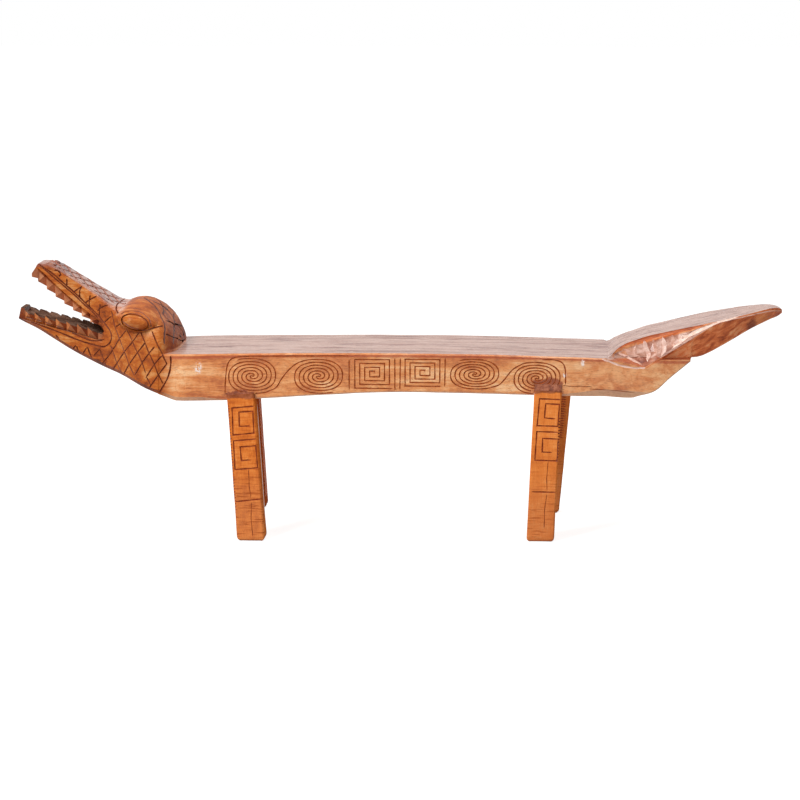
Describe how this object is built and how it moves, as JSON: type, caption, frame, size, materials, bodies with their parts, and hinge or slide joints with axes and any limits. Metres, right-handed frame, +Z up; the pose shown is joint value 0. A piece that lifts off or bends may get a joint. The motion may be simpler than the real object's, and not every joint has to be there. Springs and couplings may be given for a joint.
{
  "type": "carved animal bench",
  "caption": "Low hardwood bench carved as an open-mouthed crocodile, with an arched seat, a raised paddle tail and splayed square legs.",
  "frame": {"origin": "middle of the footprint, on the floor under the seat", "axes": "+X towards the tail, -Y towards the viewer of the picture, +Z up"},
  "size_m": [1.698, 0.4136, 0.5908],
  "materials": {
    "body_wood": "warm red-brown varnish, glossy, paler and greyer on top",
    "leg_wood": "orange-brown varnish, satin",
    "filler": "dark sawdust filler, rough under varnish"
  },
  "bodies": {
    "root": {"carved_body": "body_wood", "leg_head_front": "leg_wood", "leg_head_back": "leg_wood", "leg_tail_front": "leg_wood", "leg_tail_back": "leg_wood", "filler_head_front": "filler", "filler_head_back": "filler", "filler_tail_front": "filler", "filler_tail_back": "filler"}
  },
  "joints": []
}
